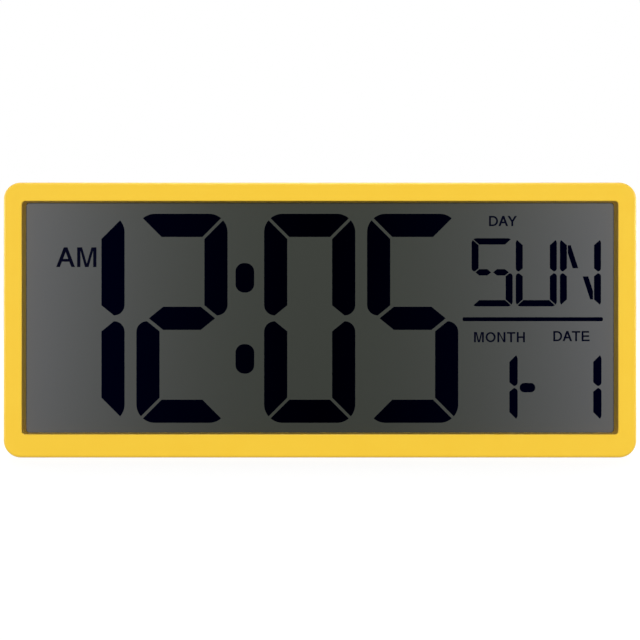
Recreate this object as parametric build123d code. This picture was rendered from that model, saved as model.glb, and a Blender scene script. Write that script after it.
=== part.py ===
from build123d import *
import os
from math import cos, radians, sin, sqrt

# A wide digital wall clock with a liquid crystal display. Millimetres: x to the right as seen from
# the front, y from the front towards the wall, z up. The origin is the middle of the back face.

# Case shells
case_width = 368.0
case_height = 160.0
corner_radius = 10.0
wall = 2.2  # moulded wall of both shells
bezel_depth = 18.0  # front face to the parting line
front_round = 2.0  # outer front edge of the bezel
cover_step = 0.6  # the rear cover stands this far inside the bezel's outline
back_round = 1.5  # outer back edge of the rear cover
lip_height = 1.5  # lip of the rear cover, inside the bezel
lip_wall = 1.2
shell_fit = 0.15  # lip to bezel wall
overrun = 1.0  # how far a cut runs past the face that it opens

# Window in the bezel
side_border = 11.0
top_border = 11.0
bottom_border = 13.7
window_radius = 2.0
window_round = 0.7  # front edge of the window
recess_depth = 7.0  # front face to the display's seat
window_draft = 0.15  # the recess narrows by this at each side
return_wall = 2.0  # wall of the recess
rib_wall = 1.2
rib_x_shares = (0.12, 0.24, 0.36)  # of the case's width, from its middle
rib_z_shares = (0.12, 0.3)  # of the case's height, from its middle

# Screws
screw_inset = 5.8  # line of screws to the outside of the case
boss_radius = 2.8
pilot_radius = 1.12
core_radius = 1.1
screw_hole_radius = 1.5
head_radius = 2.7
head_height = 1.9
cross_width = 0.8
cross_length = 3.4
cross_depth = 1.1
casing_reach = 9.0  # casing screw into its boss
inner_reach = 5.0  # retainer and board screws into their bosses
end_screw_inset = 18.0  # outer casing screws to the ends of the case
mid_screw_x = 60.0
retainer_screw_x = 100.0
board_screw_xs = (24.0, 130.0)
pillar_radius = 4.2
pillar_web = 2.5  # under the head of a casing screw
counterbore_radius = 3.1

# Display, from front to back
gasket_thickness = 0.8
gasket_width = 1.4
gasket_inset = 0.6  # from the outside of the recess wall
polariser_thickness = 0.2
polariser_inset = 0.5  # film to the edge of the glass
glass_thickness = 1.1
cell_gap = 0.1  # liquid crystal layer
reflector_thickness = 0.3
contact_ledge = 3.4  # the front glass reaches below the rear glass by this
seal_width = 1.5
glass_fit = 0.4  # glass to the bosses that locate it

# Artwork of the display, as shares of the window's width and height from its middle
digit_width_share = 0.1552
digit_height_share = 0.910
digit_pitch_share = 0.1753
time_z_share = -0.0027
minute_x_share = 0.0701  # middle of the two minute digits
hour_x_share = -0.3226  # middle of the two hour digits
digit_stroke_share = 0.254  # of the digit's width
digit_round_share = 0.80  # of the stroke
bar_gap_share = 0.125  # of the stroke
tip_share = 0.46  # of the stroke
tip_slope_share = 0.81  # rise over run of a bar's pointed end
bar_tip_share = 0.54  # of the stroke
colon_x_share = -0.1279
colon_z_share = 0.1764
colon_width_share = 0.0318
colon_height_share = 0.1282
colon_round_share = 0.46  # of the colon dot's width
weekday_x_share = 0.3682
weekday_z_share = 0.1976
weekday_pitch_share = 0.0752
letter_width_share = 0.0699
letter_height_share = 0.2966
letter_stroke_share = 0.153  # of the letter's width
letter_post_share = 0.170  # uprights, of the letter's width
letter_gap_share = 0.15  # of the letter's stroke
diagonal_width_share = 0.135  # of the letter's width
diagonal_x_shares = (0.304, 0.121)  # outer and inner end, of the letter's width
diagonal_z_shares = (0.398, 0.06)  # outer and inner end, of the letter's height
divider_x_share = 0.3622
divider_z_share = -0.0065
divider_width_share = 0.2389
divider_height_share = 0.0174
divider_round_share = 0.35  # of the divider's height
date_z_share = -0.3018
date_width_share = 0.0470
date_height_share = 0.297
date_stroke_share = 0.30  # of the date digit's width
month_x_share = 0.3130
day_x_share = 0.4557
dash_x_share = 0.3532
dash_z_share = -0.3045
dash_width_share = 0.0264
dash_height_share = 0.0404
dash_round_share = 0.48  # of the dash's height

# Retainer and circuit board
retainer_thickness = 2.0
retainer_fit = 0.4  # retainer and board to shell wall and bosses
retainer_lap = 8.0  # over the edge of the glass
retainer_foot = 19.0  # lower bar, which carries the board
retainer_radius = 4.0
zebra_length = 260.0
zebra_width = 1.8
zebra_fit = 0.2
board_width = 290.0
board_height = 27.0
board_thickness = 1.6
blob_x = -6.0
blob_radius = 7.0
blob_height = 1.8
blob_round = 1.4
crystal_x = 16.0
crystal_radius = 1.5
crystal_length = 8.0
capacitor_x = -78.0
capacitor_radius = 2.5
capacitor_height = 7.0
capacitor_round = 0.4

# Push buttons and their switches
button_names = ("mode", "plus", "minus", "format")
button_row_x = 84.0
button_row_height = 22.0  # button axes above the bottom of the case
button_pitch = 18.0
button_travel = 0.5
button_radius = 3.4
button_round = 0.5
button_rise = 1.8  # above the pocket's floor
button_fit = 0.2
button_gap = 0.1  # flange to the pocket's inner face
flange_radius = 4.8
flange_thickness = 1.0
stem_radius = 2.0
pocket_depth = 3.0
pocket_margin = 5.6  # from the button caps to the pocket's edge
pocket_radius = 6.0
switch_size = 6.0
switch_height = 3.5
plunger_radius = 1.7
plunger_rise = 1.0
plunger_sink = 1.2
plunger_fit = 0.1

# Cells, tray and contacts
cell_diameter = 14.3
cell_length = 50.5
cell_round = 0.8
nub_radius = 2.7
nub_height = 1.3
nub_round = 0.4
cell_fit = 0.4
cell_pitch = 15.1
battery_x = -86.0
battery_z = 6.0
tray_wall = 1.5
tray_floor = 1.4
display_clearance = 0.7  # tray to the back of the display
plus_space = 1.4  # tray wall to a cell's nub
minus_space = 4.0  # tray wall to a cell's flat end
contact_thickness = 0.4
contact_size = 11.0
contact_gap = 0.05
dimple_radius = 2.0
bow_width = 7.0
bow_span = 9.0
tail_width = 2.0
tail_length = 2.5
tail_fit = 0.15

# Leads from the contacts to the board
lead_radius = 0.6
lead_bend = 2.5
lead_offsets = (8.0, 4.5)  # red and black, from the tray's wall
lead_landing = 5.0  # length that lies on the board
lead_margin = 1.2  # top of the board to where a lead reaches it

# Battery door
door_sink = 0.2  # below the back face
door_fit = 0.3
door_side_lap = 3.0
door_end_lap = 4.8
door_radius = 2.0
ledge_thickness = 2.0
door_knuckle_radius = 1.3  # round lower edge, about the hinge's axis
door_knuckle_gap = 0.25
trunnion_radius = 0.9
trunnion_reach = 1.4  # into each side of the opening
trunnion_fit = 0.06
trunnion_gap = 0.3  # end of a trunnion to the bottom of its bore
latch_width = 14.0
latch_length = 9.0
latch_slot = 1.0
groove_count = 4
groove_pitch = 1.8
groove_width = 0.8
groove_depth = 0.5
groove_margin = 2.2  # door's top edge to the first groove
scoop_radius = 8.0
scoop_depth = 1.2

# Keyholes for the wall screws
keyhole_spacing = 240.0
keyhole_drop = 36.0  # entry holes below the top of the case
entry_radius = 4.5
slot_radius = 2.3
slot_rise = 10.0
hood_depth = 8.0
hood_wall = 1.4
hood_margin = 2.0

# Fold-out stand
leg_width = 60.0
foot_width = 46.0
leg_length = 70.5
leg_depth = 4.4
leg_wall = 1.8
leg_rim = 2.2
leg_rib_shares = (0.36, 0.66)  # of the leg's length, from its hinge
foot_round = 6.0
leg_edge_round = 0.8  # outer edges of the leg
stand_sink = 0.6  # folded leg below the back face
stand_fit = 0.8
stand_floor_gap = 0.6  # folded leg to the floor of its recess
stand_wall = 2.2  # walls and floor of the stand's recess
knuckle_radius = 2.4
pin_radius = 1.25
pin_fit = 0.06
pin_seat = 0.01
pin_depth = 1.7  # into each wall of the recess
hinge_height = 71.5  # above the bottom of the case
stand_angle = 30.0  # leg fully out, in degrees
heel_half_depth = 1.4
heel_gap = 0.05  # heel to the floor of the recess with the leg fully out

# Depths, worked out from the pieces that are stacked between the front face and the wall
tray_depth = wall + 2 * cell_fit + cell_diameter
film_depth = gasket_thickness + polariser_thickness + reflector_thickness
display_depth = film_depth + 2 * glass_thickness + cell_gap
case_depth = recess_depth + display_depth + display_clearance + tray_floor + tray_depth
front_y = -case_depth
parting_y = front_y + bezel_depth
seat_y = front_y + recess_depth
polariser_y = seat_y + gasket_thickness
glass_y = polariser_y + polariser_thickness
crystal_y = glass_y + glass_thickness
rear_glass_y = crystal_y + cell_gap
reflector_y = rear_glass_y + glass_thickness
retainer_y = reflector_y + reflector_thickness
board_y = retainer_y + retainer_thickness
board_back_y = board_y + board_thickness
switch_y = board_back_y + switch_height
plunger_y = switch_y + plunger_rise
flange_y = -pocket_depth - wall - button_gap
cell_y = -wall - cell_fit - cell_diameter / 2

# Widths and heights
window_width = case_width - 2 * side_border
window_height = case_height - top_border - bottom_border
window_z = (bottom_border - top_border) / 2
glass_inset = screw_inset + boss_radius + glass_fit
glass_width = case_width - 2 * glass_inset
glass_height = case_height - 2 * glass_inset
rear_glass_height = glass_height - contact_ledge
rear_glass_z = contact_ledge / 2
inner_width = case_width - 2 * wall
inner_height = case_height - 2 * wall
board_z = -inner_height / 2 + retainer_fit + board_height / 2
button_z = -case_height / 2 + button_row_height
tray_length = cell_length + plus_space + minus_space
tray_height = cell_pitch + cell_diameter + 2 * cell_fit
tray_end_x = battery_x + tray_length / 2
door_width = tray_length + 2 * door_side_lap
door_height = tray_height + 2 * door_end_lap
door_bottom_z = battery_z - door_height / 2
door_top_z = battery_z + door_height / 2
door_axis_y = -door_sink - door_knuckle_radius
door_axis_z = door_bottom_z + door_knuckle_radius
hinge_y = -stand_sink - knuckle_radius
hinge_z = -case_height / 2 + hinge_height
stand_depth = stand_sink + max(leg_depth, 2 * knuckle_radius) + stand_floor_gap
heel_reach = stand_depth + hinge_y - heel_gap
heel_rise = (heel_reach - heel_half_depth * cos(radians(stand_angle))) / sin(radians(stand_angle))
recess_half_width = leg_width / 2 + stand_fit
recess_top_z = hinge_z + heel_rise + stand_fit
keyhole_z = case_height / 2 - keyhole_drop

# Places of the screws, in the front view
screw_z = case_height / 2 - screw_inset
side_screw_x = case_width / 2 - screw_inset
end_screw_x = case_width / 2 - end_screw_inset
casing_screw_xs = (-end_screw_x, -mid_screw_x, mid_screw_x, end_screw_x)
casing_places = [(x, z) for x in casing_screw_xs for z in (-screw_z, screw_z)]
retainer_places = [(s * retainer_screw_x, screw_z) for s in (-1, 1)]
retainer_places += [(s * side_screw_x, 0) for s in (-1, 1)]
board_places = [(s * x, -screw_z) for x in board_screw_xs for s in (-1, 1)]
button_row_length = (len(button_names) - 1) * button_pitch
first_button_x = button_row_x - button_row_length / 2
button_places = [first_button_x + i * button_pitch for i in range(len(button_names))]


def slab(outline, front, back):
    """A solid between two depths, from an outline drawn in the front view with x right and z up."""
    return extrude(Plane.XZ.offset(-back) * outline, amount=back - front, dir=(0, -1, 0))


def rod(x, z, radius, front, back):
    """A round solid along y."""
    return slab(Pos(x, z) * Circle(radius), front, back)


def axle(start_x, end_x, y, z, radius):
    """A round solid along x."""
    plane = Plane((start_x, y, z), x_dir=(0, 1, 0), z_dir=(1, 0, 0))
    return extrude(plane * Circle(radius), amount=end_x - start_x)


def band(low_x, high_x, low_z, high_z):
    """A rectangle of the front view, given by its four sides."""
    return Pos((low_x + high_x) / 2, (low_z + high_z) / 2) * Rectangle(high_x - low_x, high_z - low_z)


def shell_outline(inset):
    """The case's outline, drawn in by an inset."""
    return RectangleRounded(case_width - 2 * inset, case_height - 2 * inset, corner_radius - inset)


def window_outline(growth):
    """The window's outline at the front face, grown by an amount."""
    size = (window_width + 2 * growth, window_height + 2 * growth)
    return Pos(0, window_z) * RectangleRounded(*size, window_radius + growth)


def rear_glass_outline(inset):
    """The outline of the rear glass, drawn in by an inset."""
    return Pos(0, rear_glass_z) * Rectangle(glass_width - 2 * inset, rear_glass_height - 2 * inset)


def front_bezel():
    """The yellow front moulding: frame, side walls, recess walls, ribs and screw bosses."""
    body = slab(shell_outline(0), front_y, parting_y)
    body = fillet(body.faces().sort_by(Axis.Y)[0].edges(), front_round)
    body -= slab(shell_outline(wall), front_y + wall, parting_y + overrun)
    body += slab(window_outline(return_wall), front_y + wall, seat_y)
    for share in rib_x_shares:
        for x in (-share * case_width, share * case_width):
            body += slab(Pos(x, 0) * Rectangle(rib_wall, inner_height + wall), front_y + wall, seat_y)
    for share in rib_z_shares:
        for z in (-share * case_height, share * case_height):
            body += slab(Pos(0, z) * Rectangle(inner_width + wall, rib_wall), front_y + wall, seat_y)
    for places, end_y in ((casing_places, parting_y), (retainer_places + board_places, retainer_y)):
        for x, z in places:
            body += rod(x, z, boss_radius, front_y + wall, end_y)
    mouth = Plane.XZ.offset(-front_y) * window_outline(0)
    body -= loft([mouth, Plane.XZ.offset(-seat_y) * window_outline(-window_draft)])
    for places, end_y in ((casing_places, parting_y), (retainer_places + board_places, retainer_y)):
        for x, z in places:
            body -= rod(x, z, pilot_radius, front_y + wall, end_y + overrun)
    return fillet(body.faces().sort_by(Axis.Y)[0].inner_wires()[0].edges(), window_round)


def lcd_gasket():
    """Foam ring between the recess wall and the display."""
    outer = window_outline(return_wall - gasket_inset)
    return slab(outer - window_outline(return_wall - gasket_inset - gasket_width), seat_y, polariser_y)


def lcd_edge_seal():
    """Seal round the liquid crystal layer."""
    return slab(rear_glass_outline(0) - rear_glass_outline(seal_width), crystal_y, rear_glass_y)


def pointed_bar(start, end, height):
    """A bar along x with a point at each end."""
    half = height / 2
    run = half / tip_slope_share
    upper = [(start, 0), (start + run, half), (end - run, half)]
    lower = [(end, 0), (end - run, -half), (start + run, -half)]
    return Polygon(*upper, *lower, align=None)


def digit_bars(width, height, post, stroke, gap):
    """The seven bars of a digit about its middle, by letter, with mitred corners and pointed ends.
    Uprights are as wide as post, and cross bars as high as stroke."""
    side, top = width / 2, height / 2
    mitre = gap / sqrt(2)
    tip = tip_share * post
    rounded = RectangleRounded(width, height, digit_round_share * stroke)
    corners = [(mitre - side, top), (side - mitre, top), (side - post - mitre, top - stroke),
               (post + mitre - side, top - stroke)]
    upper = Polygon(*corners, align=None) & rounded
    shoulder = gap + (post - tip) * tip_slope_share
    edge = Polyline((side, gap + tip), (side, top - mitre), (side - post, top - stroke - mitre),
                    (side - post, shoulder), (side - tip, gap))
    arc = TangentArc((side, gap + tip), (side - tip, gap), tangent=(0, -1))
    right = make_face(edge + arc) & rounded
    point = side - bar_tip_share * post
    left = mirror(right, about=Plane.YZ)
    return {
        "a": upper,
        "b": right,
        "c": mirror(right, about=Plane.XZ),
        "d": mirror(upper, about=Plane.XZ),
        "e": mirror(left, about=Plane.XZ),
        "f": left,
        "g": pointed_bar(-point, point, stroke),
    }


def letter_bars(width, height, post, stroke, gap):
    """The bars of a weekday letter: a digit's bars with a split middle bar and two diagonals."""
    bars = digit_bars(width, height, post, stroke, gap)
    bars["right middle"] = pointed_bar(gap, width / 2 - bar_tip_share * post, stroke)
    bars["left middle"] = mirror(bars["right middle"], about=Plane.YZ)
    half = diagonal_width_share * width / 2
    outer_x, inner_x = (share * width for share in diagonal_x_shares)
    outer_z, inner_z = (share * height for share in diagonal_z_shares)
    slant = [(-outer_x - half, outer_z), (half - outer_x, outer_z), (half - inner_x, inner_z),
             (-inner_x - half, inner_z)]
    clear = width / 2 - post - gap
    bars["upper diagonal"] = Polygon(*slant, align=None) & band(-clear, clear, -height, height)
    bars["lower diagonal"] = Rot(0, 0, 180) * bars["upper diagonal"]
    return bars


def art_place(x_share, z_share):
    """A place on the display, from shares of the window."""
    return Pos(x_share * window_width, window_z + z_share * window_height)


def time_digits(middle_share, dark_bars):
    """Outlines of two jumbo digits about a middle, each given by the letters of its dark bars."""
    width = digit_width_share * window_width
    stroke = digit_stroke_share * width
    height, gap = digit_height_share * window_height, bar_gap_share * stroke
    bars = digit_bars(width, height, stroke, stroke, gap)
    outlines = []
    for letters, side in zip(dark_bars, (-1, 1)):
        place = art_place(middle_share + side * digit_pitch_share / 2, time_z_share)
        outlines += [place * bars[letter] for letter in letters]
    return outlines


def colon_dots():
    """Outlines of the two dots between hours and minutes."""
    width, height = colon_width_share * window_width, colon_height_share * window_height
    dot = RectangleRounded(width, height, colon_round_share * width)
    return [art_place(colon_x_share, time_z_share + side * colon_z_share) * dot for side in (-1, 1)]


def weekday_letters():
    """Outlines of the three weekday letters."""
    width, height = letter_width_share * window_width, letter_height_share * window_height
    post, stroke = letter_post_share * width, letter_stroke_share * width
    bars = letter_bars(width, height, post, stroke, letter_gap_share * stroke)
    letters = [
        ("a", "f", "left middle", "right middle", "c", "d"),
        ("f", "e", "d", "c", "b"),
        ("e", "f", "upper diagonal", "lower diagonal", "b", "c"),
    ]
    outlines = []
    for names, step in zip(letters, (-1, 0, 1)):
        place = art_place(weekday_x_share + step * weekday_pitch_share, weekday_z_share)
        outlines += [place * bars[name] for name in names]
    return outlines


def divider_bar():
    """Outline of the bar between the weekday and the date."""
    width, height = divider_width_share * window_width, divider_height_share * window_height
    bar = RectangleRounded(width, height, divider_round_share * height)
    return [art_place(divider_x_share, divider_z_share) * bar]


def date_digits():
    """Outlines of the month and the day of the month, with the dash between them."""
    width, height = date_width_share * window_width, date_height_share * window_height
    stroke = date_stroke_share * width
    bars = digit_bars(width, height, stroke, stroke, bar_gap_share * stroke)
    places = [art_place(x_share, date_z_share) for x_share in (month_x_share, day_x_share)]
    outlines = [place * bars[letter] for place in places for letter in "bc"]
    dash_width, dash_height = dash_width_share * window_width, dash_height_share * window_height
    dash = RectangleRounded(dash_width, dash_height, dash_round_share * dash_height)
    return outlines + [art_place(dash_x_share, dash_z_share) * dash]


def dark_segments(outlines):
    """Dark segments, one solid for each outline, let into the front film where the eye sees them."""
    return Compound(children=[slab(outline, polariser_y, glass_y) for outline in outlines])


def lcd_front_polariser(artwork):
    """The grey front film, with room for the dark segments."""
    outline = rear_glass_outline(polariser_inset)
    for outlines in artwork.values():
        outline -= outlines
    return slab(outline, polariser_y, glass_y)


def zebra_outline(growth):
    """The contact strip's outline, behind the ledge of the front glass."""
    middle_z = -glass_height / 2 + contact_ledge / 2
    return Pos(0, middle_z) * Rectangle(zebra_length + 2 * growth, zebra_width + 2 * growth)


def boss_notches():
    """Notches, open to the edge of a plate, for the casing bosses that pass it."""
    half, edge_z = boss_radius + retainer_fit, case_height / 2
    notches = []
    for x, z in casing_places:
        low_z, high_z = (z, edge_z) if z > 0 else (-edge_z, z)
        notches += [Pos(x, z) * Circle(half), band(x - half, x + half, low_z, high_z)]
    return notches


def screw_holes(places):
    """Round holes for screws."""
    return [Pos(x, z) * Circle(screw_hole_radius) for x, z in places]


def lcd_retainer():
    """Frame that clamps the display against the recess wall."""
    opening_half = glass_width / 2 - retainer_lap
    opening_low = -inner_height / 2 + retainer_foot
    opening_high = glass_height / 2 - retainer_lap
    opening = band(-opening_half, opening_half, opening_low, opening_high)
    opening = fillet(opening.vertices(), retainer_radius)
    outline = shell_outline(wall + retainer_fit) - opening - zebra_outline(zebra_fit)
    outline -= boss_notches()
    outline -= screw_holes(retainer_places + board_places)
    return slab(outline, retainer_y, board_y)


def main_board():
    """Printed circuit board along the foot of the case."""
    outline = Pos(0, board_z) * Rectangle(board_width, board_height)
    outline -= boss_notches()
    outline -= screw_holes(board_places)
    return slab(outline, board_y, board_back_y)


def board_disc(x, radius, height, top_round):
    """A round part that stands on the board, with a rounded top."""
    disc = rod(x, board_z, radius, board_back_y, board_back_y + height)
    return fillet(disc.faces().sort_by(Axis.Y)[-1].edges(), top_round)


def quartz_crystal():
    """Crystal can that lies on the board."""
    half, middle_y = crystal_length / 2, board_back_y + crystal_radius
    return axle(crystal_x - half, crystal_x + half, middle_y, board_z, crystal_radius)


def screws(places, head_y, reach_y):
    """Cross-head screws whose heads lie at head_y, with cores that reach forward to reach_y."""
    solids = []
    for x, z in places:
        screw = rod(x, z, head_radius, head_y, head_y + head_height)
        screw += rod(x, z, core_radius, reach_y, head_y)
        for size in ((cross_length, cross_width), (cross_width, cross_length)):
            cross = Pos(x, z) * Rectangle(*size)
            screw -= slab(cross, head_y + head_height - cross_depth, head_y + head_height + overrun)
        solids.append(screw)
    return Compound(children=solids)


def switch_bodies():
    """Bodies of the tactile switches, one behind each button."""
    solids = []
    for x in button_places:
        body = slab(Pos(x, button_z) * Rectangle(switch_size, switch_size), board_back_y, switch_y)
        floor_y = switch_y - plunger_sink - button_travel - plunger_fit
        solids.append(body - rod(x, button_z, plunger_radius + plunger_fit, floor_y, switch_y + overrun))
    return Compound(children=solids)


def switch_plunger(x):
    """Plunger of a tactile switch."""
    return rod(x, button_z, plunger_radius, switch_y - plunger_sink, plunger_y)


def push_button(x):
    """Button cap with the flange that keeps it in and the stem that works its switch."""
    cap = rod(x, button_z, button_radius, flange_y, button_rise - pocket_depth)
    cap = fillet(cap.faces().sort_by(Axis.Y)[-1].edges(), button_round)
    flange = rod(x, button_z, flange_radius, flange_y - flange_thickness, flange_y)
    return cap + flange + rod(x, button_z, stem_radius, plunger_y, flange_y)


def keyhole_outline():
    """Entry hole with the slot above it that hangs on the screw's shank."""
    slot = band(-slot_radius, slot_radius, 0, slot_rise)
    return Circle(entry_radius) + slot + Pos(0, slot_rise) * Circle(slot_radius)


def hood_outline(growth):
    """Outline of the pocket behind a keyhole."""
    half = entry_radius + hood_margin + growth
    return Pos(0, slot_rise / 2) * RectangleRounded(2 * half, slot_rise + 2 * half, entry_radius)


def tray_outline(growth):
    """Outline of the battery tray."""
    return Pos(battery_x, battery_z) * Rectangle(tray_length + 2 * growth, tray_height + 2 * growth)


def door_outline(growth):
    """Outline of the battery door, square along its hinge and round at its free corners."""
    outline = Pos(battery_x, battery_z) * Rectangle(door_width + 2 * growth, door_height + 2 * growth)
    return fillet(outline.vertices().group_by(Axis.Y)[-1], door_radius + growth)


def pocket_outline(growth):
    """Outline of the pocket that holds the buttons."""
    half = button_radius + pocket_margin + growth
    size = (button_row_length + 2 * half, 2 * half)
    return Pos(button_row_x, button_z) * RectangleRounded(*size, pocket_radius + growth)


def door_axle(growth, radius):
    """A round solid along the door's hinge, as long as the door grown at both ends."""
    half = door_width / 2 + growth
    return axle(battery_x - half, battery_x + half, door_axis_y, door_axis_z, radius)


def tail_places():
    """Depth and heights of the contact tails that leave the tray."""
    y = cell_y - contact_size / 2 + contact_thickness / 2
    return y, [battery_z + side * cell_pitch / 2 for side in (1, -1)]


def tail_block(x_start, x_end, z, growth):
    """A contact tail through the tray's wall, or the slot for one."""
    y, _ = tail_places()
    half_y, half_z = contact_thickness / 2 + growth, tail_width / 2 + growth
    return slab(band(x_start, x_end, z - half_z, z + half_z), y - half_y, y + half_y)


def rear_cover():
    """The rear moulding: back plate, walls, lip, pillars, tray, pockets, keyholes and stand recess."""
    body = slab(shell_outline(cover_step), parting_y, 0)
    body = fillet(body.faces().sort_by(Axis.Y)[-1].edges(), back_round)
    body -= slab(shell_outline(cover_step + wall), parting_y - overrun, -wall)
    lip_inset = wall + shell_fit
    lip = shell_outline(lip_inset) - shell_outline(lip_inset + lip_wall)
    lip -= boss_notches()
    body += slab(lip, parting_y - lip_height, parting_y + lip_height)
    for x, z in casing_places:
        body += rod(x, z, pillar_radius, parting_y, -wall) & slab(shell_outline(cover_step), parting_y, 0)
    body += slab(tray_outline(tray_wall), -tray_depth - tray_floor, -wall)
    body += slab(door_outline(door_fit + tray_wall), -wall - ledge_thickness, -wall)
    body += slab(pocket_outline(wall), -pocket_depth - wall, -wall)
    hoods = [Pos(side * keyhole_spacing / 2, keyhole_z) for side in (-1, 1)]
    for place in hoods:
        body += slab(place * hood_outline(hood_wall), -hood_depth - hood_wall, -wall)
    outer_half = recess_half_width + stand_wall
    recess = band(-outer_half, outer_half, -inner_height / 2, recess_top_z + stand_wall)
    body += slab(recess, -stand_depth - stand_wall, -wall)
    for x, z in casing_places:
        body -= rod(x, z, counterbore_radius, parting_y + pillar_web, overrun)
        body -= rod(x, z, screw_hole_radius, parting_y - overrun, parting_y + pillar_web)
    body -= slab(tray_outline(0), -tray_depth, overrun)
    body -= slab(door_outline(door_fit), -wall, overrun)
    body -= slab(Pos(battery_x, door_top_z) * Circle(scoop_radius), -scoop_depth, overrun)
    body -= door_axle(door_fit, door_knuckle_radius + door_knuckle_gap)
    bore_growth = door_fit + trunnion_reach + trunnion_gap
    body -= door_axle(bore_growth, trunnion_radius + trunnion_fit)
    for z in tail_places()[1]:
        body -= tail_block(tray_end_x, tray_end_x + tray_wall + overrun, z, tail_fit)
    body -= slab(pocket_outline(0), -pocket_depth, overrun)
    for x in button_places:
        body -= rod(x, button_z, button_radius + button_fit, -pocket_depth - wall - overrun, overrun)
    for place in hoods:
        body -= slab(place * hood_outline(0), -hood_depth, -wall)
        body -= slab(place * keyhole_outline(), -wall - overrun, overrun)
    leg_room = band(-recess_half_width, recess_half_width, -case_height / 2 - overrun, recess_top_z)
    body -= slab(leg_room, -stand_depth, overrun)
    pin_half = recess_half_width + pin_depth
    return body - axle(-pin_half, pin_half, hinge_y, hinge_z, pin_radius + pin_seat)


def battery_door():
    """Door over the cells: round hinge edge with trunnions, sprung latch tongue and finger grooves."""
    half = door_width / 2
    plate = door_outline(0) & band(battery_x - half, battery_x + half, door_axis_z, door_top_z)
    body = slab(plate, -wall, -door_sink) + door_axle(0, door_knuckle_radius)
    body += door_axle(door_fit + trunnion_reach, trunnion_radius)
    for side in (-1, 1):
        x = battery_x + side * latch_width / 2
        half = latch_slot / 2
        slit = band(x - half, x + half, door_top_z - latch_length, door_top_z + overrun)
        body -= slab(slit, -wall - overrun, overrun)
    half = latch_width / 2 - latch_slot
    for i in range(groove_count):
        z = door_top_z - groove_margin - i * groove_pitch
        groove = band(battery_x - half, battery_x + half, z - groove_width / 2, z + groove_width / 2)
        body -= slab(groove, -door_sink - groove_depth, overrun)
    return body


def cell(side):
    """AA cell with its nub towards +x for side 1, and towards -x for side -1."""
    z = battery_z + side * cell_pitch / 2
    nub_x = battery_x + side * (tray_length / 2 - plus_space)
    can_x = nub_x - side * nub_height
    flat_x = battery_x - side * (tray_length / 2 - minus_space)
    can = axle(min(flat_x, can_x), max(flat_x, can_x), cell_y, z, cell_diameter / 2)
    can = fillet(can.edges().filter_by(GeomType.CIRCLE), cell_round)
    nub = axle(min(nub_x, can_x), max(nub_x, can_x), cell_y, z, nub_radius)
    return can + fillet(nub.faces().sort_by(Axis.X)[-1 if side > 0 else 0].edges(), nub_round)


def contact_plate(side, low_z, high_z):
    """Sheet-metal plate against an end wall of the tray."""
    wall_x = battery_x + side * tray_length / 2
    inner_x = wall_x - side * contact_thickness
    outline = band(min(wall_x, inner_x), max(wall_x, inner_x), low_z, high_z)
    return slab(outline, cell_y - contact_size / 2, cell_y + contact_size / 2)


def dimple(side, z):
    """Raised spot that meets a cell's nub."""
    plate_x = battery_x + side * (tray_length / 2 - contact_thickness)
    nub_x = battery_x + side * (tray_length / 2 - plus_space + contact_gap)
    return axle(min(plate_x, nub_x), max(plate_x, nub_x), cell_y, z, dimple_radius)


def bow(side, z):
    """Bowed leaf spring that presses on a cell's flat end."""
    plate_x = battery_x + side * (tray_length / 2 - contact_thickness)
    reach = minus_space - contact_thickness - contact_gap
    half = bow_span / 2
    inner_half, inner_reach_x = half - contact_thickness, reach - contact_thickness
    outer = ThreePointArc((0, -half), (reach, 0), (0, half))
    inner = ThreePointArc((0, inner_half), (inner_reach_x, 0), (0, -inner_half))
    ends = Line((0, half), (0, inner_half)) + Line((0, -inner_half), (0, -half))
    plane = Plane((plate_x, cell_y, z - bow_width / 2), x_dir=(-side, 0, 0), z_dir=(0, 0, 1))
    return extrude(plane * make_face(outer + inner + ends), amount=bow_width, dir=(0, 0, 1))


def end_contact(z, spring):
    """Contact at the tray's lead end: a plate with a dimple or a bow, and a tail through the wall."""
    plate = contact_plate(1, z - contact_size / 2, z + contact_size / 2)
    tail = tail_block(tray_end_x - contact_thickness, tray_end_x + tray_wall + tail_length, z, 0)
    return plate + tail + (bow(1, z) if spring else dimple(1, z))


def bridge_contact():
    """Contact that joins the two cells at the tray's other end."""
    half = (cell_pitch + contact_size) / 2
    plate = contact_plate(-1, battery_z - half, battery_z + half)
    return plate + dimple(-1, battery_z - cell_pitch / 2) + bow(-1, battery_z + cell_pitch / 2)


def battery_lead(z, offset):
    """Insulated wire from a contact's tail down to the board."""
    start_x = tray_end_x + tray_wall + lead_radius
    run_x = tray_end_x + tray_wall + offset
    start_y = tail_places()[0] + contact_thickness / 2 + lead_radius
    end_y = board_back_y + lead_radius
    board_top_z = board_z + board_height / 2 - lead_margin
    points = [(start_x, start_y, z), (run_x, start_y, z), (run_x, end_y, board_top_z),
              (run_x, end_y, board_top_z - lead_landing)]
    path = FilletPolyline(*points, radius=lead_bend)
    return sweep(Plane(path @ 0, z_dir=path % 0) * Circle(lead_radius), path)


def leg_outline():
    """Tapered outline of the stand's leg, rounded at the foot."""
    foot_z = hinge_z - leg_length
    right = [(leg_width / 2, hinge_z), (foot_width / 2, foot_z)]
    left = [(-foot_width / 2, foot_z), (-leg_width / 2, hinge_z)]
    outline = Polygon(*right, *left, align=None)
    return fillet(outline.vertices().group_by(Axis.Y)[0], foot_round)


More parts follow.
